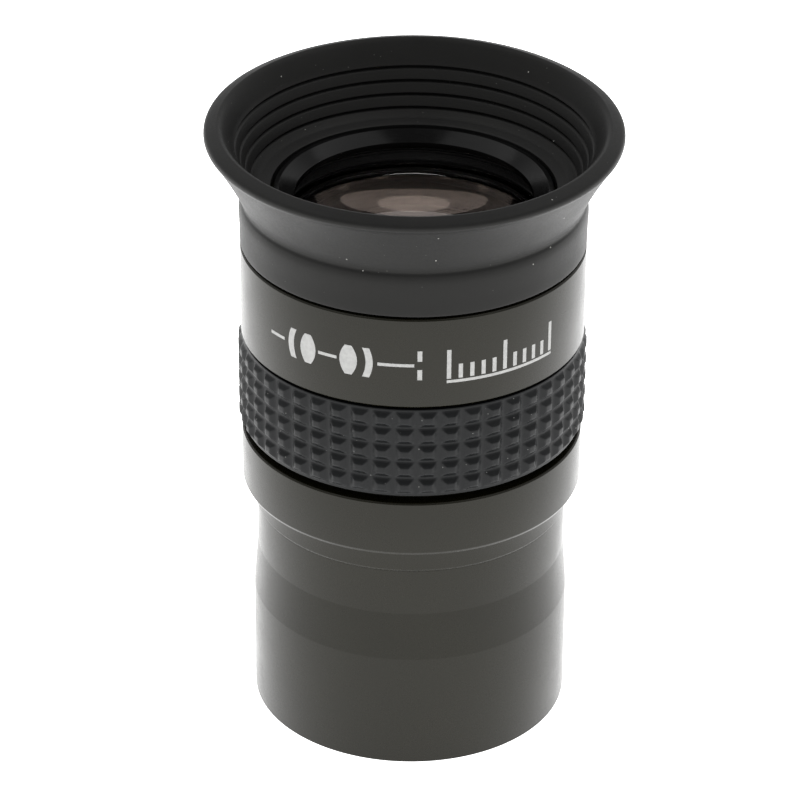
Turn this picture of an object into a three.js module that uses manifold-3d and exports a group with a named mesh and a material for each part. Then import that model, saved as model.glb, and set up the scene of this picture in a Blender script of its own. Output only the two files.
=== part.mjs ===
// A 1.25 inch telescope eyepiece of the four-element symmetrical kind, 25 mm focal length.
// Frame: millimetres, +Z up along the optical axis, origin at the centre of the barrel's lower end.
import * as THREE from "three";
import { mergeVertices } from "three/addons/utils/BufferGeometryUtils.js";
import Module from "manifold-3d";

const wasm = await Module();
wasm.setup();

// Driving dimensions
const BARREL_R = 15.85; // the 1.25 inch standard: 31.7 mm across
const BODY_R = 16.9; // the housing is 33.8 mm across
const GAP = 0.3; // clearance left between separate pieces
const CHAMFER = 0.15; // on the edges of the turned metal
const ROUND_STEPS = 48; // flats round each turned piece
const LENS_STEPS = 32; // flats round each lens and each ring that holds one

// Heights along the axis
const UNDERCUT_START = 12.2; // the barrel narrows in a long taper, which keeps it from slipping out
const UNDERCUT_END = 17.3;
const BARREL_TOP = 22.25;
const SPIGOT_TOP = 27.3; // the barrel's threaded spigot, inside the housing
const HOUSING_FOOT = 22.43;
const COLLAR_FOOT = 24.9;
const GROOVE_FOOT = 30.7; // the groove that carries the rubber ring
const GROOVE_TOP = 41.3;
const GRIP_FOOT = 31.5;
const GRIP_TOP = 41.0;
const SKIRT_FOOT = 51.0; // lower edge of the rubber eyecup
const CREASE = 55.6; // the eyecup folds here
const LIP_FOOT = 61.4; // the flared wall ends and the lip starts
const LIP_EDGE = 61.95; // the lip's lower outer edge
const LIP_TOP = 63.2;
const BEZEL_THREAD_FOOT = 53.9;
const BEZEL_FOOT = 54.4;
const HOUSING_TOP = 55.3; // end face of the housing's neck, under the eyecup's base
const BEZEL_TOP = 56.4;

// Radii
const NECK_R = 15.45;
const STUB_R = 15.66;
const GROOVE_R = 15.5;
const GRIP_R = 17.2;
const FILTER_THREAD_R = 14.2; // M28.5 x 0.6 inside the barrel's end
const BARREL_BORE_R = 13.9;
const SPIGOT_BORE_R = 12.6;
const SPIGOT_R = 14.35;
const FIELD_STOP_R = 10.9; // clear radius: a field of about 50 degrees
const RETAINING_BORE_R = 12.1;
const LENS_R = 13.0;
const CHAMBER_R = LENS_R + GAP; // the lenses' seat in the housing
const CUP_SEAT_R = 15.0; // the housing's neck, inside the eyecup's skirt
const BEZEL_THREAD_R = 13.8;
const BEZEL_HOLE_R = 11.6;
const BEZEL_R = 13.6;
const CUP_HOLE_R = 13.9; // the eyecup's base, round the bezel
const FLARE_FOOT_R = 16.75; // the flared wall's outer radius just above the crease
const LIP_R = 20.25;

// Optics: two cemented pairs, crowns facing each other. With flint of index 1.62 and crown of 1.52
// these radii give a focal length of 24.7 mm and an image plane 17.4 mm under the field lens.
const FLINT_OUTER_RADIUS = 70;
const CEMENT_RADIUS = 22;
const CROWN_RADIUS = 30;
const FLINT_THICKNESS = 1.8;
const CROWN_EDGE = 1.3;
const CEMENT_LAYER = 0.1;
const CROWN_SPACING = 0.5; // between the two crowns, on the axis
const EYE_APEX = 53.9; // top of the eye lens on the axis
const IMAGE_PLANE = 15.15; // height of the field stop

const group = new THREE.Group();

function turned(name, outline, colour, roughness, metalness, steps = ROUND_STEPS) {
  // The outline lists [radius, height] anticlockwise, so that the faces point out.
  const points = outline.map(([radius, height]) => new THREE.Vector2(radius, height));
  const onAxis = outline[0][0] === 0 && outline[outline.length - 1][0] === 0;
  if (!onAxis) {
    points.push(points[0].clone());
  }
  const material = new THREE.MeshStandardMaterial({ color: colour, roughness, metalness });
  const mesh = new THREE.Mesh(new THREE.LatheGeometry(points, steps), material);
  mesh.name = name;
  // LatheGeometry turns about Y: stand it up on +Z.
  mesh.rotation.x = Math.PI / 2;
  group.add(mesh);
  return mesh;
}

const anodised = (name, outline, steps) => turned(name, outline, 0x2b2a28, 0.42, 0.8, steps);
const rubber = (name, outline, steps) => turned(name, outline, 0x1c1c1d, 0.75, 0, steps);

function asSolid(geometry) {
  const bare = geometry.clone();
  bare.deleteAttribute("normal");
  bare.deleteAttribute("uv");
  const merged = mergeVertices(bare);
  return new wasm.Manifold(new wasm.Mesh({
    numProp: 3,
    vertProperties: merged.attributes.position.array,
    triVerts: merged.index.array,
  }));
}

function asGeometry(solid) {
  const { vertProperties, triVerts } = solid.getMesh();
  const geometry = new THREE.BufferGeometry();
  geometry.setAttribute("position", new THREE.BufferAttribute(vertProperties, 3));
  geometry.setIndex(new THREE.BufferAttribute(triVerts, 1));
  geometry.computeVertexNormals();
  return geometry;
}

function cutSpannerSlots(ring, face, depth) {
  // One long bar across the ring's lower face cuts the two slots that a lens spanner turns it by.
  const slotWidth = 1.4;
  const bar = new THREE.BoxGeometry(slotWidth, 2 * depth, 4 * LENS_R);
  bar.translate(0, face, 0);
  ring.geometry = asGeometry(asSolid(ring.geometry).subtract(asSolid(bar)));
}

// Nosepiece barrel, with the filter thread inside its lower end and a spigot at the top
const threadPitch = 0.6;
const threadTurns = 4;
const firstCrest = 0.7;
const threadWall = [];
for (let turn = 0; turn < threadTurns; turn += 1) {
  const crest = firstCrest + turn * threadPitch;
  threadWall.unshift([FILTER_THREAD_R, crest + threadPitch / 2], [BARREL_BORE_R, crest]);
}
const spigotLedge = BARREL_TOP - 0.5;
anodised("barrel", [
  [FILTER_THREAD_R + 0.1, 0],
  [BARREL_R - 0.1, 0],
  [BARREL_R, 0.1],
  [BARREL_R, UNDERCUT_START],
  [NECK_R, UNDERCUT_END],
  [NECK_R, BARREL_TOP - 0.1],
  [NECK_R - 0.1, BARREL_TOP],
  [SPIGOT_R, BARREL_TOP],
  [SPIGOT_R, SPIGOT_TOP],
  [SPIGOT_BORE_R, SPIGOT_TOP],
  [SPIGOT_BORE_R, spigotLedge],
  [BARREL_BORE_R, spigotLedge],
  ...threadWall,
]);

// Field stop, a threaded ring whose sharp upper edge lies in the image plane
const stopFoot = IMAGE_PLANE - 1.5;
const stop = anodised("field_stop_ring", [
  [FIELD_STOP_R + 1.2, stopFoot],
  [BARREL_BORE_R - GAP, stopFoot],
  [BARREL_BORE_R - GAP, IMAGE_PLANE],
  [FIELD_STOP_R, IMAGE_PLANE],
  [FIELD_STOP_R, IMAGE_PLANE - 0.3],
]);
cutSpannerSlots(stop, stopFoot, 0.6);

// Housing: stub, collar, groove for the rubber ring, printed band and the neck inside the eyecup
const shoulder = SKIRT_FOOT - 0.25;
anodised("housing", [
  [SPIGOT_R + GAP, HOUSING_FOOT],
  [STUB_R - CHAMFER, HOUSING_FOOT],
  [STUB_R, HOUSING_FOOT + CHAMFER],
  [STUB_R, COLLAR_FOOT],
  [BODY_R - CHAMFER, COLLAR_FOOT],
  [BODY_R, COLLAR_FOOT + CHAMFER],
  [BODY_R, GROOVE_FOOT - CHAMFER],
  [BODY_R - CHAMFER, GROOVE_FOOT],
  [GROOVE_R, GROOVE_FOOT],
  [GROOVE_R, GROOVE_TOP],
  [BODY_R - CHAMFER, GROOVE_TOP],
  [BODY_R, GROOVE_TOP + CHAMFER],
  [BODY_R, shoulder - CHAMFER],
  [BODY_R - CHAMFER, shoulder],
  [CUP_SEAT_R, shoulder],
  [CUP_SEAT_R, HOUSING_TOP],
  [BEZEL_THREAD_R, HOUSING_TOP],
  [BEZEL_THREAD_R, BEZEL_THREAD_FOOT],
  [CHAMBER_R, BEZEL_THREAD_FOOT],
  [CHAMBER_R, SPIGOT_TOP + 1.5],
  [SPIGOT_R + GAP, SPIGOT_TOP + GAP],
]);

// Rubber grip ring, stretched into the groove: five rows of raised squares
const gripRows = 5;
const gripBorder = 0.2; // plain strip along each edge
const rowPitch = (GRIP_TOP - GRIP_FOOT - 2 * gripBorder) / gripRows;
const rowDepth = 0.4;
const gripOutline = [
  [GROOVE_R + GAP, GRIP_FOOT],
  [GRIP_R - rowDepth, GRIP_FOOT],
];
for (let row = 0; row < gripRows; row += 1) {
  const foot = GRIP_FOOT + gripBorder + row * rowPitch;
  gripOutline.push(
    [GRIP_R - rowDepth, foot],
    [GRIP_R, foot + rowPitch * 0.3],
    [GRIP_R, foot + rowPitch * 0.7],
  );
}
gripOutline.push(
  [GRIP_R - rowDepth, GRIP_TOP - gripBorder],
  [GRIP_R - rowDepth, GRIP_TOP],
  [GROOVE_R + GAP, GRIP_TOP],
);
rubber("grip_ring", gripOutline);

// Bezel: a threaded ring in the housing's top, with a land and a polished cone down to the eye lens
const coneFoot = 55.55;
const coneBack = 55.0;
anodised("eye_end_bezel", [
  [BEZEL_HOLE_R, coneBack],
  [LENS_R - 0.3, coneBack],
  [LENS_R - 0.1, BEZEL_FOOT],
  [BEZEL_THREAD_R - GAP, BEZEL_FOOT],
  [BEZEL_THREAD_R - GAP, HOUSING_TOP + GAP],
  [BEZEL_R, HOUSING_TOP + GAP],
  [BEZEL_R, BEZEL_TOP - 0.1],
  [BEZEL_R - 0.1, BEZEL_TOP],
  [BEZEL_R - 0.55, BEZEL_TOP],
  [BEZEL_HOLE_R, coneFoot],
]);

// Lenses. A bowl gives the height of a spherical face below its apex at some radius from the axis.
const bowl = (curvature, radius) => curvature - Math.sqrt(curvature ** 2 - radius ** 2);
const faceRadii = [0, 0.4, 0.7, 0.88, 1].map((share) => share * LENS_R);

function lensFace(apex, curvature, opensDown) {
  const sign = opensDown ? -1 : 1;
  return faceRadii.map((radius) => [radius, apex + sign * bowl(curvature, radius)]);
}

function lens(name, lowerFace, upperFace, colour) {
  const outline = [...lowerFace, ...[...upperFace].reverse()];
  const mesh = turned(name, outline, colour, 0.05, 0, LENS_STEPS);
  mesh.material.transparent = true;
  mesh.material.opacity = 0.35;
}

const crownThickness = CROWN_EDGE + bowl(CEMENT_RADIUS, LENS_R) + bowl(CROWN_RADIUS, LENS_R);
const eyeCementApex = EYE_APEX - FLINT_THICKNESS;
const eyeCrownTop = eyeCementApex - CEMENT_LAYER;
const eyeCrownFoot = eyeCrownTop - crownThickness;
const fieldCrownTop = eyeCrownFoot - CROWN_SPACING;
const fieldCrownFoot = fieldCrownTop - crownThickness;
const fieldCementApex = fieldCrownFoot - CEMENT_LAYER;
const fieldApex = fieldCementApex - FLINT_THICKNESS;
lens(
  "eye_lens_flint",
  lensFace(eyeCementApex, CEMENT_RADIUS, true),
  lensFace(EYE_APEX, FLINT_OUTER_RADIUS, true),
  0xc9b8ae,
);
lens(
  "eye_lens_crown",
  lensFace(eyeCrownFoot, CROWN_RADIUS, false),
  lensFace(eyeCrownTop, CEMENT_RADIUS, true),
  0xd8e0dc,
);
lens(
  "field_lens_crown",
  lensFace(fieldCrownFoot, CEMENT_RADIUS, false),
  lensFace(fieldCrownTop, CROWN_RADIUS, true),
  0xd8e0dc,
);
lens(
  "field_lens_flint",
  lensFace(fieldApex, FLINT_OUTER_RADIUS, false),
  lensFace(fieldCementApex, CEMENT_RADIUS, false),
  0xc9b8ae,
);

// Rings that hold the lens stack
const flintRim = EYE_APEX - bowl(FLINT_OUTER_RADIUS, LENS_R);
const seatFoot = flintRim + GAP;
const seatTop = seatFoot + 0.65;
anodised("eye_lens_seat_ring", [
  [LENS_R - 0.35, seatFoot + 0.1],
  [LENS_R - 0.25, seatFoot],
  [CHAMBER_R - 0.1, seatFoot],
  [CHAMBER_R - 0.1, seatTop],
  [LENS_R + 0.05, seatTop],
], LENS_STEPS);

const spacerBoreR = LENS_R - 1.1;
const spacerReach = bowl(CROWN_RADIUS, spacerBoreR);
anodised("lens_spacer", [
  [spacerBoreR, fieldCrownTop - spacerReach + GAP],
  [LENS_R, fieldCrownTop - spacerReach + GAP],
  [LENS_R, eyeCrownFoot + spacerReach - GAP],
  [spacerBoreR, eyeCrownFoot + spacerReach - GAP],
], LENS_STEPS);

const retainingTop = fieldApex + bowl(FLINT_OUTER_RADIUS, RETAINING_BORE_R) - GAP;
const retainingFoot = retainingTop - 2.4;
const retaining = anodised("field_lens_retaining_ring", [
  [RETAINING_BORE_R, retainingFoot],
  [LENS_R, retainingFoot],
  [LENS_R, retainingTop],
  [RETAINING_BORE_R, retainingTop],
], LENS_STEPS);
cutSpannerSlots(retaining, retainingFoot, 1);

// Rubber eyecup, one moulding in three stretches: base with its skirt, flared wall, and lip
const skirtR = BODY_R + 0.02;
const skirtBoreR = CUP_SEAT_R + GAP;
const baseTop = CREASE + 0.95;
rubber("eyecup_base", [
  [skirtBoreR, SKIRT_FOOT],
  [skirtR - CHAMFER, SKIRT_FOOT],
  [skirtR, SKIRT_FOOT + CHAMFER],
  [skirtR + 0.06, CREASE - 1.2],
  [skirtR - 0.1, CREASE - 0.3],
  [skirtR - 0.3, CREASE - 0.15],
  [15.2, baseTop],
  [CUP_HOLE_R, baseTop],
  [CUP_HOLE_R, HOUSING_TOP + GAP],
  [skirtBoreR, HOUSING_TOP + GAP],
]);

// Outside, the wall is a plain cone from the crease to the lip's edge.
const flareFoot = CREASE + 0.3;
const flareSlope = (LIP_R - 0.2 - FLARE_FOOT_R) / (LIP_EDGE - flareFoot);
const flareRadius = (height) => FLARE_FOOT_R + flareSlope * (height - flareFoot);

// Inside, it has four grooves on a narrowing cone.
const wallGrooves = 4;
const groovePitch = 1.17;
const grooveGrowth = 0.5;
const grooveDepth = 0.25;
const grooveHeight = 0.3;
const innerWall = [];
for (let groove = 0; groove < wallGrooves; groove += 1) {
  const height = 61.0 - groove * groovePitch;
  const radius = 17.3 - groove * grooveGrowth;
  innerWall.push([radius, height], [radius + grooveDepth, height - grooveHeight / 2]);
  innerWall.push([radius - 0.1, height - grooveHeight]);
}
const wallTop = LIP_FOOT - GAP;
rubber("eyecup_wall", [
  [15.5, baseTop + 0.25],
  [FLARE_FOOT_R, flareFoot],
  [flareRadius(wallTop), wallTop],
  [17.4, wallTop],
  ...innerWall,
]);

rubber("eyecup_lip", [
  [17.5, LIP_FOOT],
  [flareRadius(LIP_FOOT), LIP_FOOT],
  [flareRadius(LIP_EDGE), LIP_EDGE],
  [LIP_R, LIP_EDGE + 0.25],
  [LIP_R - 0.03, LIP_EDGE + 0.65],
  [LIP_R - 0.3, LIP_EDGE + 0.93],
  [19.3, LIP_TOP - 0.1],
  [18.9, LIP_TOP],
  [18.5, LIP_TOP - 0.15],
  [18.2, LIP_TOP - 0.55],
  [17.8, LIP_FOOT + 0.6],
]);

export default group;
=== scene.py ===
import math
import random

import bmesh
import bpy
from mathutils import Matrix, Vector


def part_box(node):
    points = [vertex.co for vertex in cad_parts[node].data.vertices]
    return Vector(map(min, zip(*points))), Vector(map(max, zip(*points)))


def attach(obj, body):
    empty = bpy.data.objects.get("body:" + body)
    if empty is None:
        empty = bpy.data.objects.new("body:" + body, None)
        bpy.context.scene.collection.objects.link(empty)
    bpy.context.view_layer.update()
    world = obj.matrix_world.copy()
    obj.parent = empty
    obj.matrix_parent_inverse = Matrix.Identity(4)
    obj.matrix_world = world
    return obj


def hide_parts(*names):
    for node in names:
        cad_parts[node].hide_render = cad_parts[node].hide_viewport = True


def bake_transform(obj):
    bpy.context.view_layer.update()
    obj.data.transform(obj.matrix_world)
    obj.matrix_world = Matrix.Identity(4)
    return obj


# The looks of a 1.25 inch telescope eyepiece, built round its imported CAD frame.
# Outlines are lists of (radius, height) in millimetres; every mesh is made in metres.

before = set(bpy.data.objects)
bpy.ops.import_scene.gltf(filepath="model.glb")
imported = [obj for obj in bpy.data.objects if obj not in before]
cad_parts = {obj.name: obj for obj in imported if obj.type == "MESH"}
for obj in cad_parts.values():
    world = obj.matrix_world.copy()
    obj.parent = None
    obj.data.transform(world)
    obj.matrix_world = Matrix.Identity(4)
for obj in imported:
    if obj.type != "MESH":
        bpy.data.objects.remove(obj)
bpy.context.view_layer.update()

MM = 0.001
TAU = 2 * math.pi
ROUND_STEPS = 256
NEAR = 0.01  # heights or radii this close count as the same


# ---------------------------------------------------------------- reading the frame

def cad_outline(node):
    """A turned CAD node's outline: its edges in the half plane y = 0, x > 0, followed round."""
    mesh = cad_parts[node].data
    links = {}
    for edge in mesh.edges:
        ends = [mesh.vertices[i].co for i in edge.vertices]
        if any(abs(p.y) > 1e-6 or p.x < -1e-6 for p in ends):
            continue
        a, b = [(round(p.x / MM, 3) + 0.0, round(p.z / MM, 3)) for p in ends]
        links.setdefault(a, set()).add(b)
        links.setdefault(b, set()).add(a)
    on_axis = [p for p in links if len(links[p]) == 1]  # a solid piece's outline ends there
    start = min(on_axis or links, key=lambda p: (p[1], -p[0]))
    outline = [start]
    here = max(links[start], key=lambda p: p[0])
    while here != start:
        following = [p for p in links[here] if p != outline[-1]]
        outline.append(here)
        if not following:
            break
        here = following[0]
    return outline


def span(node):
    """Lowest and highest point of a node along the axis, in millimetres."""
    low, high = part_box(node)
    return low[2] / MM, high[2] / MM


def radius_of(node):
    """Largest radius of a node, in millimetres."""
    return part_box(node)[1][0] / MM


def bore_of(node):
    """Smallest radius of a node, in millimetres."""
    return min(r for r, _ in cad_outline(node))


# ---------------------------------------------------------------- outline tools

STRAIGHT = math.radians(178.5)  # a corner flatter than this isn't rounded
LEAST_REACH = 0.4  # of the radius, so that a shallow corner still gets a rounding of some width
MOST_REACH = 0.45  # of the sides next to the corner


def eased(points, radius, steps=4):
    """The closed outline with each corner rounded to about the given radius."""
    made = []
    for i, here in enumerate(points):
        corner = Vector(here)
        before = Vector(points[i - 1]) - corner
        after = Vector(points[(i + 1) % len(points)]) - corner
        turn = before.angle(after)
        if turn > STRAIGHT:
            made.append(here)
            continue
        reach = max(radius / math.tan(turn / 2), LEAST_REACH * radius)
        reach = min(reach, MOST_REACH * before.length, MOST_REACH * after.length)
        first = corner + before.normalized() * reach
        last = corner + after.normalized() * reach
        for k in range(steps + 1):
            t = k / steps
            made.append(tuple(first * (1 - t) ** 2 + corner * 2 * t * (1 - t) + last * t ** 2))
    return made


def curve_through(points, steps=5):
    """A smooth open line through the points, by Catmull-Rom."""
    knots = [Vector(p) for p in points]
    knots = [2 * knots[0] - knots[1]] + knots + [2 * knots[-1] - knots[-2]]
    made = []
    for p0, p1, p2, p3 in zip(knots, knots[1:], knots[2:], knots[3:]):
        for k in range(steps):
            t = k / steps
            bend = (2 * p0 - 5 * p1 + 4 * p2 - p3) * t ** 2 + (3 * p1 - p0 - 3 * p2 + p3) * t ** 3
            made.append(tuple(0.5 * (2 * p1 + (p2 - p0) * t + bend)))
    made.append(tuple(points[-1]))
    return made


def bowed(apex, rim_radius, rim_height, steps=40):
    """A spherical face from the axis out to its rim."""
    drop = rim_height - apex
    sphere = (rim_radius ** 2 + drop ** 2) / (2 * abs(drop))
    made = []
    for k in range(steps + 1):
        r = rim_radius * math.sin(math.pi / 2 * k / steps)
        made.append((r, apex + math.copysign(sphere - math.sqrt(sphere ** 2 - r ** 2), drop)))
    return made


# ---------------------------------------------------------------- meshes

def link(thing):
    bpy.context.scene.collection.objects.link(thing)
    return thing


def mesh_object(name, vertices, faces, sharp=32):
    """A smooth-shaded piece, with edges sharper than the given angle kept crisp."""
    mesh = bpy.data.meshes.new(name)
    mesh.from_pydata([Vector(v) * MM for v in vertices], [], faces)
    bm = bmesh.new()
    bm.from_mesh(mesh)
    bmesh.ops.remove_doubles(bm, verts=bm.verts, dist=1e-7)
    bmesh.ops.recalc_face_normals(bm, faces=bm.faces)
    bm.to_mesh(mesh)
    bm.free()
    mesh.polygons.foreach_set("use_smooth", [True] * len(mesh.polygons))
    mesh.set_sharp_from_angle(angle=math.radians(sharp))
    return link(bpy.data.objects.new(name, mesh))


def turned(name, outline, steps=ROUND_STEPS, closed=True, sharp=32, shape=None):
    """A piece of revolution. shape(radius, height, angle) may move each point."""
    shape = shape or (lambda r, z, angle: (r, z))
    vertices, faces = [], []
    count = len(outline)
    for s in range(steps):
        angle = TAU * s / steps
        for point in outline:
            r, z = shape(*point, angle)
            vertices.append((r * math.cos(angle), r * math.sin(angle), z))
    for s in range(steps):
        here, there = s * count, (s + 1) % steps * count
        for i in range(count if closed else count - 1):
            j = (i + 1) % count
            faces.append((here + i, there + i, there + j, here + j))
    return mesh_object(name, vertices, faces, sharp)


# ---------------------------------------------------------------- materials

class Shader:
    """A principled material, with short ways to add procedural detail."""

    def __init__(self, name, **sockets):
        self.material = bpy.data.materials.new(name)
        self.material.use_nodes = True
        self.tree = self.material.node_tree
        self.bsdf = self.tree.nodes["Principled BSDF"]
        self.place = self.tree.nodes.new("ShaderNodeTexCoord").outputs["Object"]
        for socket, value in sockets.items():
            self.bsdf.inputs[socket.replace("_", " ")].default_value = value

    def set(self, socket, value):
        if isinstance(value, bpy.types.NodeSocket):
            self.tree.links.new(value, socket)
        else:
            socket.default_value = value

    def node(self, kind, **inputs):
        made = self.tree.nodes.new(kind)
        for name, value in inputs.items():
            self.set(made.inputs[name.replace("_", " ")], value)
        return made

    def drive(self, socket, value):
        self.tree.links.new(value, self.bsdf.inputs[socket])

    def math(self, operation, a, b):
        made = self.tree.nodes.new("ShaderNodeMath")
        made.operation = operation
        self.set(made.inputs[0], a)
        self.set(made.inputs[1], b)
        return made.outputs[0]

    def noise(self, scale, detail=3.0, roughness=0.55, stretch=(1, 1, 1)):
        place = self.node("ShaderNodeMapping", Vector=self.place, Scale=stretch)
        made = self.node("ShaderNodeTexNoise", Scale=scale, Detail=detail, Roughness=roughness,
                         Vector=place.outputs[0])
        return made.outputs["Fac"]

    def remap(self, value, to_low, to_high, low=0.3, high=0.7):
        made = self.node("ShaderNodeMapRange", Value=value, From_Min=low, From_Max=high,
                         To_Min=to_low, To_Max=to_high)
        return made.outputs["Result"]

    def mix(self, share, a, b):
        made = self.tree.nodes.new("ShaderNodeMix")
        made.data_type = "RGBA"
        first, second = [s for s in made.inputs if s.type == "RGBA"]
        self.set(made.inputs[0], share)
        self.set(first, a)
        self.set(second, b)
        return [s for s in made.outputs if s.type == "RGBA"][0]

    def cloudy(self, value, dark, light):
        """The base colour, drifting between two tones."""
        return self.mix(self.remap(value, 0.0, 1.0), (*dark, 1), (*light, 1))

    def bump(self, height, strength, distance, onto=None):
        made = self.node("ShaderNodeBump", Strength=strength, Distance=distance, Height=height)
        if onto is not None:
            self.tree.links.new(onto, made.inputs["Normal"])
        self.tree.links.new(made.outputs["Normal"], self.bsdf.inputs["Normal"])
        return made.outputs["Normal"]

    def specks(self, scale, size):
        """1 on a few small spots, 0 elsewhere."""
        cells = self.node("ShaderNodeTexVoronoi", Scale=scale, Vector=self.place)
        return self.math("LESS_THAN", cells.outputs["Distance"], size)


def grey(value):
    return value, value, value


WARM = (1.0, 0.99, 0.94, 1)  # the cast of what black surfaces mirror


def anodised_metal(name, index):
    """Satin black anodising: faint cloudiness, fine turning marks and a matt grain."""
    s = Shader(name, IOR=index, Specular_Tint=WARM)
    shade = s.cloudy(s.noise(90, 4), (0.0040, 0.0036, 0.0012), (0.0056, 0.0051, 0.0020))
    s.drive("Base Color", shade)
    grain = s.noise(9000, 2)
    patch = s.noise(260, 3)
    s.drive("Roughness", s.math("ADD", s.remap(patch, 0.24, 0.30), s.remap(grain, -0.03, 0.03)))
    marks = s.noise(250, 2, 0.6, stretch=(1, 1, 64))
    s.bump(grain, 0.25, 0.000006, s.bump(marks, 0.25, 0.000004))
    return s.material


def eyecup_rubber():
    """Soft matt rubber: cloudy bloom, a fine moulded grain and a little pale dust."""
    s = Shader("eyecup_rubber", IOR=1.245, Specular_Tint=WARM)
    cloud = s.noise(130, 5, 0.6)
    shade = s.cloudy(cloud, grey(0.0064), grey(0.0092))
    shade = s.mix(s.specks(460, 0.032), shade, (0.3, 0.3, 0.28, 1))
    shade = s.mix(s.specks(900, 0.04), shade, (0.07, 0.07, 0.065, 1))
    s.drive("Base Color", shade)
    grain = s.noise(5200, 3, 0.6)
    s.drive("Roughness", s.math("ADD", s.remap(cloud, 0.40, 0.50), s.remap(grain, -0.04, 0.04)))
    s.bump(grain, 0.45, 0.000014, s.bump(s.noise(420, 2), 0.3, 0.00004))
    return s.material


def grip_rubber():
    """Harder, slightly glossy rubber with a blue-grey cast."""
    s = Shader("grip_rubber", IOR=1.28)
    cloud = s.noise(200, 4, 0.6)
    shade = s.cloudy(cloud, (0.0026, 0.0030, 0.0034), (0.0044, 0.0050, 0.0054))
    shade = s.mix(s.specks(900, 0.045), shade, (0.2, 0.2, 0.19, 1))
    s.drive("Base Color", shade)
    grain = s.noise(4200, 3, 0.6)
    s.drive("Roughness", s.math("ADD", s.remap(cloud, 0.36, 0.46), s.remap(grain, -0.04, 0.04)))
    s.bump(grain, 0.4, 0.000012, s.bump(s.noise(700, 2), 0.25, 0.00003))
    return s.material


def inner_black():
    """Matt black paint on the parts inside."""
    s = Shader("blackened_inner_metal", IOR=1.4)
    s.drive("Base Color", s.cloudy(s.noise(300, 3), grey(0.009), grey(0.014)))
    grain = s.noise(7000, 2)
    s.drive("Roughness", s.remap(grain, 0.3, 0.45))
    s.bump(grain, 0.4, 0.00001)
    return s.material


def polished_black():
    """The bezel: black anodising over a polished cone, with very fine turning marks."""
    s = Shader("polished_black_metal", IOR=1.24)
    s.drive("Base Color", s.cloudy(s.noise(300, 3), grey(0.0012), grey(0.002)))
    marks = s.noise(900, 2, 0.6, stretch=(1, 1, 14))
    s.drive("Roughness", s.remap(marks, 0.13, 0.2))
    s.bump(marks, 0.15, 0.000003)
    return s.material


def lens_glass(name, tint, index, reflection=(1, 1, 1, 1)):
    """Polished glass with a trace of haze."""
    s = Shader(name, IOR=index, Transmission_Weight=1.0, Specular_Tint=reflection)
    s.drive("Base Color", s.cloudy(s.noise(500, 3), tuple(c * 0.985 for c in tint), tint))
    s.drive("Roughness", s.remap(s.noise(600, 4), 0.0, 0.02, 0.45, 0.8))
    return s.material


def print_ink():
    """Pale pad-printed ink, a little worn."""
    s = Shader("print_ink", IOR=1.5)
    wear = s.noise(2600, 4, 0.7)
    s.drive("Base Color", s.cloudy(wear, (0.37, 0.37, 0.36), (0.29, 0.29, 0.285)))
    s.drive("Roughness", s.remap(wear, 0.45, 0.6))
    s.bump(wear, 0.3, 0.000005)
    return s.material


FLINT_INDEX = 1.62
CROWN_INDEX = 1.52
FLINT_TINT = (0.97, 0.95, 0.94)
CROWN_TINT = (0.98, 0.99, 0.985)
COATING = (1.0, 0.80, 0.70, 1)  # what an anti-reflection coating still reflects

METAL = anodised_metal("anodised_metal", 1.325)
# painted shade: a copy of the metal that reflects a little less, to darken the undercut cone, which
# faces darker surroundings
SHADED_UNDERCUT = anodised_metal("anodised_undercut_painted_shade", 1.305)
EYECUP_RUBBER = eyecup_rubber()
GRIP_RUBBER = grip_rubber()
INNER = inner_black()
POLISHED = polished_black()
COATED = lens_glass("coated_glass", FLINT_TINT, FLINT_INDEX, COATING)
CLEAR = lens_glass("clear_glass", CROWN_TINT, CROWN_INDEX, COATING)
# Light crosses each cemented joint once as flint against crown, and once with no change.
FLINT_JOINT = lens_glass("cemented_flint_face", FLINT_TINT, FLINT_INDEX / CROWN_INDEX)
CROWN_JOINT = lens_glass("cemented_crown_face", CROWN_TINT, 1.0)
INK = print_ink()


def finish_piece(piece, body, slot, material, *nodes):
    piece.data.materials.append(material)
    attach(piece, body)
    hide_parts(*nodes)


# ---------------------------------------------------------------- barrel and housing

THREAD_PITCH = 0.6
THREAD_DEPTH = 0.26
TURNED_EDGE = 0.05  # radius of the edges of turned metal
EDGE_BEVEL = 0.16  # the housing's lower edges have a long soft bevel, which catches the light
FLANGE_STEP = 0.6  # the flange is narrower than the barrel by less than this
NECK_INSET = 0.02  # the flange's top edge is drawn in, so that the joint shows
JOINT_LINE = 0.002  # what is left of the gap between barrel and housing, as if screwed home


def ridge(turn):
    """A V thread's height, from 0 to 1, at some number of turns along it."""
    return 1 - abs(2 * (turn % 1.0) - 1)


def densified(outline, radius, low, high, step):
    """The outline with extra points on its upright stretch at this radius."""
    made = []
    for a, b in zip(outline, outline[1:] + outline[:1]):
        made.append(a)
        upright = abs(a[0] - radius) < NEAR and abs(b[0] - radius) < NEAR
        if upright and min(a[1], b[1]) < high and max(a[1], b[1]) > low:
            count = max(1, round(abs(b[1] - a[1]) / step))
            made += [(radius, a[1] + (b[1] - a[1]) * k / count) for k in range(1, count)]
    return made


def recoat(piece, material, low, high, inner, outer):
    """Another material on the faces between two heights and two radii."""
    piece.data.materials.append(material)
    for face in piece.data.polygons:
        middle = face.center / MM
        if low < middle.z < high and inner < math.hypot(middle.x, middle.y) < outer:
            face.material_index = len(piece.data.materials) - 1


def flange_height():
    """Height of the barrel's flange, which the housing screws down onto."""
    rim = radius_of("barrel") - FLANGE_STEP
    return max(z for r, z in cad_outline("barrel") if r > rim)


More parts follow.
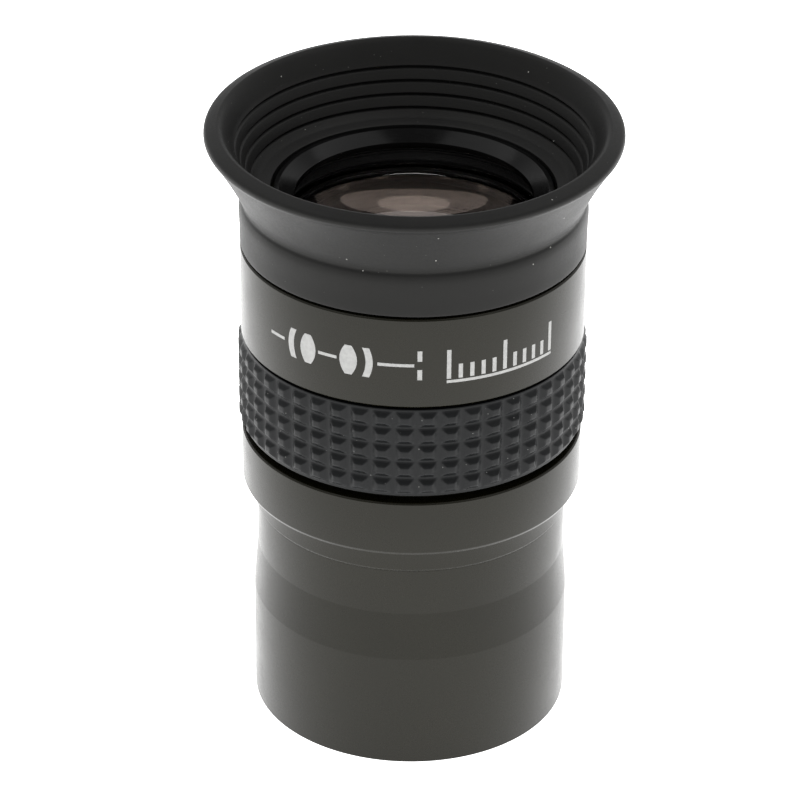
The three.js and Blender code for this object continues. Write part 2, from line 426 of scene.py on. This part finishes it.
def barrel():
    """The nosepiece, with a real helix on its spigot."""
    outline = cad_outline("barrel")
    flange, spigot_top = flange_height(), span("barrel")[1]
    outside_bore = bore_of("barrel") + 0.6
    spigot = min(r for r, z in outline if r > outside_bore and z > spigot_top - NEAR)
    neck_radius = max(r for r, z in outline if z > flange - 0.2)
    outline = [(neck_radius - NECK_INSET, z) if z > flange - NEAR and r > spigot + 0.5 else (r, z)
               for r, z in outline]
    points = eased(outline, TURNED_EDGE, 3)
    points = densified(points, spigot, flange, spigot_top, THREAD_PITCH / 8)

    def shape(r, z, angle):
        threaded = flange + 0.5 < z < spigot_top - 0.3
        if threaded and abs(r - spigot) < 0.02:
            r -= THREAD_DEPTH * (1 - ridge(z / THREAD_PITCH - angle / TAU))
        return r, z

    piece = turned("nosepiece_barrel", points, shape=shape)
    finish_piece(piece, "barrel_body", "anodised_metal", METAL, "barrel")
    recoat(piece, INNER, 0.3, spigot_top, 0, spigot - 0.6)
    wide = radius_of("barrel") - 0.05
    undercut_foot = max(z for r, z in outline if r > wide)
    undercut_top = min(z for r, z in outline if z > 5 and spigot + 0.5 < r < wide)
    # the undercut cone gets the less reflective copy of the metal, as painted shade
    recoat(piece, SHADED_UNDERCUT, undercut_foot, undercut_top, spigot, wide + 1)


def housing():
    """The housing, closed down onto the barrel's flange to a fine line."""
    section = cad_outline("housing")
    foot, top = span("housing")
    widest = radius_of("housing") - NEAR
    stub = max(r for r, z in section if z < foot + 1)
    collar_edge = min(z for r, z in section if r > widest)
    joint = flange_height() + JOINT_LINE
    outline = []
    for r, z in section:
        if z < foot + NEAR:
            r, z = min(r, stub - 0.75 * EDGE_BEVEL), joint
        elif z < foot + 0.5:
            z = joint + 1.6 * EDGE_BEVEL
        elif abs(z - collar_edge) < NEAR:
            z += EDGE_BEVEL
        outline.append((r, z))
    piece = turned("housing_shell", eased(outline, TURNED_EDGE, 3))
    finish_piece(piece, "housing_body", "anodised_metal", METAL, "housing")
    recoat(piece, INNER, foot, top, 0, radius_of("eye_lens_flint") + 0.6)


barrel()
housing()


# ---------------------------------------------------------------- rings inside

SLOT_WIDTH = 1.4
RING_EDGE = 0.04  # radius of the plain rings' edges


def slotted_ring(name, node, body, slot_depth):
    """A plain ring with two spanner slots across its lower face."""
    foot = span(node)[0]
    points = eased(cad_outline(node), TURNED_EDGE)

    def shape(r, z, angle):
        across = abs(r * math.cos(angle)) < SLOT_WIDTH / 2
        return r, max(z, foot + slot_depth) if across else z

    piece = turned(name, points, shape=shape)
    finish_piece(piece, body, "blackened_inner_metal", INNER, node)


def plain_ring(name, node, slot, material):
    piece = turned(name, eased(cad_outline(node), RING_EDGE))
    finish_piece(piece, "housing_body", slot, material, node)


SEAT_STEPS = 4
SEAT_RISE = 0.15  # the seat ring's foot is this much higher than in the CAD


def seat_ring():
    """The thin ring over the eye lens, with fine turned steps down its bore."""
    node = "eye_lens_seat_ring"
    low, high = span(node)
    low += SEAT_RISE
    outer, inner = radius_of(node), bore_of(node)
    stairs = []
    for k in range(SEAT_STEPS):
        r = outer - 0.1 - (outer - inner - 0.1) * k / SEAT_STEPS
        z = high - (high - low - 0.05) * k / SEAT_STEPS
        stairs += [(r, z), (r - 0.03, z - 0.1)]
    points = [(inner, low), (outer, low), (outer, high)] + stairs
    piece = turned("seat_ring", points, sharp=20)
    finish_piece(piece, "housing_body", "blackened_inner_metal", INNER, node)


slotted_ring("field_stop", "field_stop_ring", "barrel_body", 0.6)
slotted_ring("retaining_ring", "field_lens_retaining_ring", "housing_body", 1.0)
plain_ring("spacer_ring", "lens_spacer", "blackened_inner_metal", INNER)
plain_ring("eye_bezel", "eye_end_bezel", "polished_black_metal", POLISHED)
seat_ring()


# ---------------------------------------------------------------- lenses

LENS_CHAMFER = 0.12
LENS_STEPS = 192


def lens(name, node, slot, material, joint, joint_side):
    """A polished lens with spherical faces. joint_side is 1 if its top is cemented, -1 its foot."""
    outline = cad_outline(node)
    rim = radius_of(node)
    on_axis = sorted(z for r, z in outline if r < NEAR)
    at_rim = sorted(z for r, z in outline if r > rim - NEAR)
    lower = bowed(on_axis[0], rim - LENS_CHAMFER, at_rim[0])
    upper = bowed(on_axis[-1], rim - LENS_CHAMFER, at_rim[-1])
    edge = [(rim, at_rim[0] + LENS_CHAMFER), (rim, at_rim[-1] - LENS_CHAMFER)]
    section = lower + edge + upper[::-1]
    piece = turned(name, section, steps=LENS_STEPS, closed=False, sharp=25)
    finish_piece(piece, "housing_body", slot, material, node)
    piece.data.materials.append(joint)
    for face in piece.data.polygons:
        if face.normal.z * joint_side > 0.8:
            face.material_index = 1


lens("eye_flint", "eye_lens_flint", "coated_glass", COATED, FLINT_JOINT, -1)
lens("eye_crown", "eye_lens_crown", "clear_glass", CLEAR, CROWN_JOINT, 1)
lens("field_crown", "field_lens_crown", "clear_glass", CLEAR, CROWN_JOINT, -1)
lens("field_flint", "field_lens_flint", "coated_glass", COATED, FLINT_JOINT, 1)


# ---------------------------------------------------------------- grip ring

GRIP_ROWS = 5
GRIP_COLUMNS = 48
GRIP_FIRST_VALLEY = math.radians(-90 + 1.6)  # the front of the object is at -90 degrees
GRIP_HEIGHT = 0.42
GRIP_FOOT_BORDER = 0.22  # plain strip along the lower edge
GRIP_HEAD_BORDER = 0.12  # and along the upper one


def raised(share):
    """Height of a raised square across one cell, for a share of the cell from 0 to 1."""
    rise, flat = 0.06, 0.33
    slope = min(max((min(share, 1 - share) - rise) / (flat - rise), 0), 1)
    return slope * 0.75 + 0.25 * slope * slope * (3 - 2 * slope)


def grip_ring():
    """A rubber sleeve with rows of raised squares, split along the hips of each pyramid."""
    low, high = span("grip_ring")
    bore = bore_of("grip_ring")
    floor = radius_of("grip_ring") - GRIP_HEIGHT
    half_cell = [0, 0.06, 0.15, 0.24, 0.30, 0.34, 0.42, 0.5]
    stops = half_cell + [1 - s for s in half_cell[-2:0:-1]]
    row_pitch = (high - low - GRIP_FOOT_BORDER - GRIP_HEAD_BORDER) / GRIP_ROWS
    around = [(column + s) / GRIP_COLUMNS for column in range(GRIP_COLUMNS) for s in stops]
    columns = len(around)
    foot = [(bore, low), (floor - 0.12, low), (floor - 0.03, low + 0.03), (floor, low + 0.11)]
    head = [(floor, high - 0.1), (floor - 0.05, high), (bore, high)]
    rings = [[point] * columns for point in foot]
    for place in [row + s for row in range(GRIP_ROWS) for s in stops] + [GRIP_ROWS]:
        height = low + GRIP_FOOT_BORDER + place * row_pitch
        rise = [min(raised(place % 1.0), raised(a * GRIP_COLUMNS % 1.0)) for a in around]
        rings.append([(floor + GRIP_HEIGHT * share, height) for share in rise])
    rings += [[point] * columns for point in head]
    vertices, faces = [], []
    for ring in rings:
        for share, (r, z) in zip(around, ring):
            angle = GRIP_FIRST_VALLEY + TAU * share
            vertices.append((r * math.cos(angle), r * math.sin(angle), z))
    for j in range(len(rings)):
        above = (j + 1) % len(rings)
        for i in range(columns):
            beside = (i + 1) % columns
            a, b = j * columns + i, j * columns + beside
            c, d = above * columns + beside, above * columns + i
            radii = [math.hypot(*vertices[k][:2]) for k in (a, b, c, d)]
            if abs(radii[0] - radii[2]) >= abs(radii[1] - radii[3]):
                faces += [(a, b, c), (a, c, d)]
            else:
                faces += [(a, b, d), (b, c, d)]
    piece = mesh_object("grip_sleeve", vertices, faces, sharp=60)
    finish_piece(piece, "housing_body", "grip_rubber", GRIP_RUBBER, "grip_ring")


grip_ring()


# ---------------------------------------------------------------- eyecup

CUP_STEPS = 288
CUP_TILT = 0.03  # the soft lip leans back a little
CUP_RIPPLE = 0.05  # how far the lip's radius wanders
CUP_WAVE = 0.06  # how far the lip's height wanders
SKIRT_WAVE = 0.035  # how far the height of the skirt's edge wanders
CUP_SEED = 7
CUP_GROOVES = 4
GROOVE_PITCH = 1.17
GROOVE_GROWTH = 0.5


def eyecup_outline():
    """The moulding's section, anticlockwise from the skirt's lower edge."""
    foot = span("eyecup_base")[0]
    crease = span("eyecup_wall")[0]
    top = span("eyecup_lip")[1]
    lip = radius_of("eyecup_lip")
    base = cad_outline("eyecup_base")
    seat = bore_of("eyecup_base")
    skirt_bore = min(r for r, z in base if z < foot + NEAR)
    seat_foot = min(z for r, z in base if r < seat + NEAR)
    skirt = radius_of("eyecup_base")
    flare_foot = (skirt - 0.23, crease + 0.02)
    lip_edge = (lip - 0.2, top - 1.25)
    outer = curve_through([
        (skirt - 0.22, foot + 0.02), (skirt - 0.1, foot + 0.13), (skirt - 0.07, foot + 0.5),
        (skirt - 0.06, foot + 1.7), (skirt, foot + 3.2), (skirt - 0.02, foot + 3.8),
        (skirt - 0.12, foot + 4.25), (skirt - 0.26, foot + 4.58), flare_foot,
    ], 4)
    flare = curve_through([flare_foot] + [
        (flare_foot[0] + (lip_edge[0] - flare_foot[0]) * t - 0.12 * math.sin(math.pi * t),
         flare_foot[1] + (lip_edge[1] - flare_foot[1]) * t) for t in (0.2, 0.4, 0.6, 0.8)
    ] + [lip_edge], 3)
    rolled = curve_through([
        (lip - 0.08, top - 1.14), (lip, top - 0.92), (lip - 0.02, top - 0.62),
        (lip - 0.2, top - 0.36), (lip - 0.6, top - 0.18), (lip - 1.1, top - 0.04),
        (lip - 1.35, top), (lip - 1.62, top - 0.12), (lip - 1.9, top - 0.42),
        (lip - 2.3, top - 1.05), (lip - 2.8, top - 1.95),
    ], 4)
    grooves = []
    for step in range(CUP_GROOVES):
        r, z = lip - 2.95 - GROOVE_GROWTH * step, top - 2.2 - GROOVE_PITCH * step
        grooves += [(r, z + 0.06), (r + 0.05, z - 0.02), (r + 0.3, z - 0.1), (r + 0.3, z - 0.2),
                    (r - 0.08, z - 0.3), (r - 0.16, z - 0.38)]
    floor = [(seat + 1.3, top - 6.45), (seat + 1.0, top - 6.6),
             (seat + 0.2, top - 6.68), (seat, top - 6.8)]
    back = [(seat, seat_foot), (skirt_bore, seat_foot), (skirt_bore, foot + 0.02)]
    return outer + flare[1:] + rolled + grooves + floor + back


def eyecup():
    """One rubber moulding, a little out of true."""
    foot = span("eyecup_base")[0]
    crease = span("eyecup_wall")[0]
    top = span("eyecup_lip")[1]
    draw = random.Random(CUP_SEED)
    ripples = [(n, draw.uniform(0, TAU), draw.uniform(0.3, 1.0) / n) for n in range(2, 7)]

    def shape(r, z, angle):
        flared = max(0.0, min(1.0, (z - crease) / (top - crease)))
        skirt = max(0.0, 1 - (z - foot) / 1.2)
        ripple = sum(a * math.sin(n * angle + phase) for n, phase, a in ripples)
        lean = CUP_TILT * r * math.sin(angle) * flared ** 1.5
        wave = (CUP_WAVE * flared + SKIRT_WAVE * skirt) * ripple
        return r + CUP_RIPPLE * flared * ripple, z + lean + wave

    piece = turned("eyecup", eyecup_outline(), steps=CUP_STEPS, sharp=50, shape=shape)
    piece.data.materials.append(EYECUP_RUBBER)
    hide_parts("eyecup_base", "eyecup_wall", "eyecup_lip")
    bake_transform(piece)


eyecup()


# ---------------------------------------------------------------- printed mark

PRINT_DEPTH = 0.02
PRINT_MIDDLE = 45.9  # height of the drawing's axis
PRINT_FACET = 0.25  # the flat drawing is cut this fine, so that it follows the housing
PRINT_HALF = 1.55  # half the height of the tall shapes
PRINT_LINE = 0.32
TICKS = 11
TICK_PITCH = 1.15
TICK_WIDTH = 0.42
SHORT_TICK = 1.5
SCALE_START = 3.3


def bar(left, low, width, height):
    return [(left, low), (left + width, low), (left + width, low + height), (left, low + height)]


def lens_sign(middle, bow_left, bow_right, steps=8):
    """A lens section standing on the line: each side bows out (or in) by its own amount."""
    made = []
    for side, bow in ((-1, bow_left), (1, bow_right)):
        for k in range(steps + 1):
            t = (2 * k / steps - 1) * side
            made.append((middle + side * (0.35 + bow * (1 - t * t)), t * PRINT_HALF))
    return made


def print_shapes():
    """A small drawing of the two lens pairs and their stop, and a plain graduated scale."""
    shapes = []
    for middle, side in ((-10.6, 1), (-6.2, -1)):
        shapes.append(lens_sign(middle, 0.55, 0.55))
        shapes.append(lens_sign(middle - side * 1.75, 0.35 * side, -0.35 * side))
    for left, right in ((-15.6, -13.6), (-9.4, -7.4), (-3.3, 0.2)):
        shapes.append(bar(left, -PRINT_LINE / 2, right - left, PRINT_LINE))
    for low in (0.45, -PRINT_HALF):
        shapes.append(bar(0.5, low, 0.45, PRINT_HALF - 0.45))
    for tick in range(TICKS):
        height = 2 * PRINT_HALF if tick % 5 == 0 else SHORT_TICK
        shapes.append(bar(SCALE_START + tick * TICK_PITCH, -PRINT_HALF, TICK_WIDTH, height))
    length = (TICKS - 1) * TICK_PITCH + TICK_WIDTH
    shapes.append(bar(SCALE_START, -PRINT_HALF - 0.45, length, 0.3))
    return shapes


def printed_shape(outline, into):
    """One flat shape, cut into narrow strips and given a little depth."""
    own = bmesh.new()
    own.faces.new([own.verts.new((u, v, -PRINT_DEPTH / 2)) for u, v in outline])
    left, right = min(u for u, _ in outline), max(u for u, _ in outline)
    for k in range(1, math.ceil((right - left) / PRINT_FACET)):
        bmesh.ops.bisect_plane(own, geom=own.verts[:] + own.edges[:] + own.faces[:],
                               plane_co=(left + k * PRINT_FACET, 0, 0), plane_no=(1, 0, 0))
    grown = bmesh.ops.extrude_face_region(own, geom=own.faces[:])
    for item in grown["geom"]:
        if isinstance(item, bmesh.types.BMVert):
            item.co.z = PRINT_DEPTH
    part = bpy.data.meshes.new("part")
    own.to_mesh(part)
    own.free()
    into.from_mesh(part)
    bpy.data.meshes.remove(part)


def printed_mark():
    """The drawing, wrapped round the front of the housing."""
    radius = radius_of("housing")
    bm = bmesh.new()
    for outline in print_shapes():
        printed_shape(outline, bm)
    for vert in bm.verts:
        u, v, w = vert.co
        angle, out = u / radius, radius + w
        vert.co = Vector((out * math.sin(angle), -out * math.cos(angle), PRINT_MIDDLE + v)) * MM
    bmesh.ops.recalc_face_normals(bm, faces=bm.faces)
    bm.verts.index_update()
    count = len(bm.verts)  # the cuts leave the faces in an order that changes from run to run
    bm.faces.sort(key=lambda face: face.verts[0].index * count + face.verts[1].index)
    mesh = bpy.data.meshes.new("printed_mark")
    bm.to_mesh(mesh)
    bm.free()
    piece = link(bpy.data.objects.new("printed_mark", mesh))
    piece.data.materials.append(INK)
    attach(piece, "housing_body")


printed_mark()


# ---------------------------------------------------------------- floor, camera and light

FLOOR_GLOW = 1.5  # the floor is a light table, so that it stays white right up to the barrel
FLOOR_RADIUS = 2500
FLOOR_STEPS = 96
PAINTED_SHADE_MARGIN = 0.8  # how far the dark disc of painted shade under the barrel stays inside its edge

CAMERA_PLACE = (0, -0.34603, 0.22712)
CAMERA_PITCH, CAMERA_ROLL, CAMERA_YAW = 29.33, 0.46, -0.195  # degrees
CAMERA_LENS = 179.34


def stage_floor():
    """A glowing floor, and a dark disc under the barrel: painted shade that keeps the floor's glow
    out of the barrel.
    """
    edge = radius_of("barrel") - PAINTED_SHADE_MARGIN
    floor = turned("floor", [(edge, 0), (FLOOR_RADIUS, 0)], steps=FLOOR_STEPS, closed=False)
    s = Shader("floor_paper", Roughness=0.9, Emission_Color=(1, 1, 1, 1),
               Emission_Strength=FLOOR_GLOW)
    s.drive("Base Color", s.mix(s.noise(30, 2), (0.9, 0.9, 0.9, 1), (0.92, 0.92, 0.92, 1)))
    floor.data.materials.append(s.material)
    # painted shade: a black disc on the floor where the barrel would shade it, in the inner parts'
    # matt black
    shade_disc = turned("painted_floor_shade", [(0, 0), (edge, 0)], steps=FLOOR_STEPS, closed=False)
    shade_disc.data.materials.append(INNER)


def make_camera():
    """A long lens looking down on the object from the front."""
    pitch, roll, yaw = (math.radians(a) for a in (CAMERA_PITCH, CAMERA_ROLL, CAMERA_YAW))
    level = math.cos(pitch)
    forward = Vector((math.sin(yaw) * level, math.cos(yaw) * level, -math.sin(pitch)))
    right = forward.cross(Vector((0, 0, 1))).normalized()
    up = right.cross(forward)
    across = right * math.cos(roll) + up * math.sin(roll)
    upward = up * math.cos(roll) - right * math.sin(roll)
    turn = Matrix((across, upward, -forward)).transposed().to_4x4()
    data = bpy.data.cameras.new("camera")
    data.lens = CAMERA_LENS
    data.sensor_width = 36
    data.clip_start, data.clip_end = 0.01, 50
    camera = link(bpy.data.objects.new("camera", data))
    camera.matrix_world = Matrix.Translation(CAMERA_PLACE) @ turn
    bpy.context.scene.camera = camera


SURFACES = ("diffuse", "glossy", "transmission")


def soft_box(name, place, width, height, radiance, seen_by, shape="RECTANGLE"):
    """A flat light, facing down, that reaches only some kinds of surface."""
    data = bpy.data.lights.new(name, "AREA")
    data.shape = shape
    data.size, data.size_y = width, height
    area = width * height * (math.pi / 4 if shape == "ELLIPSE" else 1)
    data.energy = radiance * math.pi * area
    light = link(bpy.data.objects.new(name, data))
    light.location = place
    for kind in SURFACES:
        setattr(light, "visible_" + kind, kind in seen_by)


def make_world():
    """A tent: pale at the horizon, dark overhead."""
    world = bpy.data.worlds.new("tent")
    bpy.context.scene.world = world
    world.use_nodes = True
    tree = world.node_tree
    place = tree.nodes.new("ShaderNodeTexCoord")
    split = tree.nodes.new("ShaderNodeSeparateXYZ")
    tree.links.new(place.outputs["Generated"], split.inputs[0])
    ramp = tree.nodes.new("ShaderNodeValToRGB")
    tree.links.new(split.outputs["Z"], ramp.inputs[0])
    stops = ramp.color_ramp.elements
    stops[0].position, stops[0].color = 0.05, (1, 1, 1, 1)
    stops[1].position, stops[1].color = 0.9, (0.28, 0.28, 0.28, 1)
    middle = stops.new(0.55)
    middle.color = (0.75, 0.75, 0.75, 1)
    tree.links.new(ramp.outputs[0], tree.nodes["Background"].inputs["Color"])


def make_light():
    make_world()
    for side, name in ((-1, "left_box"), (1, "right_box")):
        soft_box(name, (side * 0.475, 0.125, 1.0), 0.57, 1.05, 1.1, ["diffuse", "glossy"])
        soft_box(name + "_in_glass", (side * 0.61, -0.575, 1.0), 0.67, 0.85, 0.9, ["transmission"])
    soft_box("fill_box", (0, 0, 1.6), 0.9, 0.9, 5.0, ["diffuse"])
    soft_box("glass_glow", (0, 0.07, 0.95), 1.7, 0.5, 1.9, ["transmission"], "ELLIPSE")
    soft_box("glass_crescent", (0, 0.09, 0.9), 0.62, 0.28, 3.0, ["transmission"], "ELLIPSE")


stage_floor()
make_camera()
make_light()
bpy.context.scene.view_settings.view_transform = "Standard"
